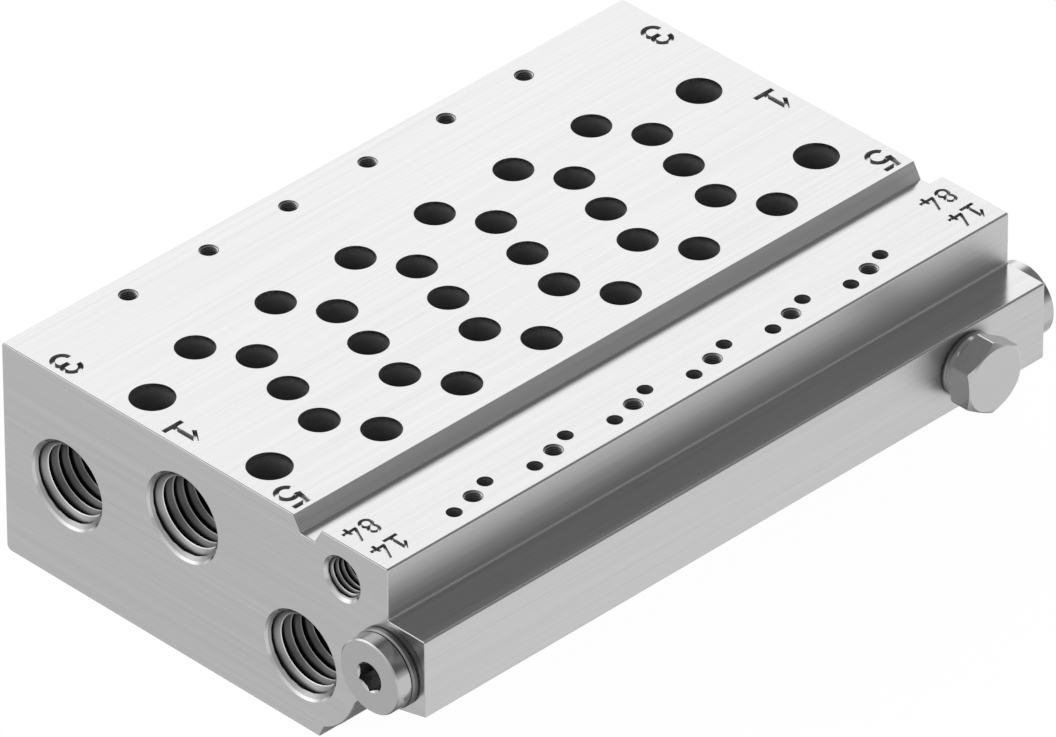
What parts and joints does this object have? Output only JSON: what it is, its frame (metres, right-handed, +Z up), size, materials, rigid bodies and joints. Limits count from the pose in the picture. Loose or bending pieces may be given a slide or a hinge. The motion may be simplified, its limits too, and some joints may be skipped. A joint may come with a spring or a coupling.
{
  "type": "valve manifold rail",
  "caption": "Long aluminium rail with rows of flow holes for side-by-side valves, threaded end ports, a stepped pilot bar and screwed plugs.",
  "frame": {"origin": "centre of the four mounting holes, on the base", "axes": "+X across the rail towards the pilot strip and bar, +Y along the rail towards the end with the side plug, +Z up from the base to the deck"},
  "size_m": [0.1098, 0.1582, 0.043],
  "materials": {
    "block": "satin",
    "plug": "polished",
    "ring": "polished"
  },
  "bodies": {
    "root": {"manifold_block": "block", "front_plug": "plug", "front_plug_ring": "ring", "rear_plug": "plug", "rear_plug_ring": "ring", "side_plug": "plug", "side_plug_ring": "ring"}
  },
  "joints": []
}
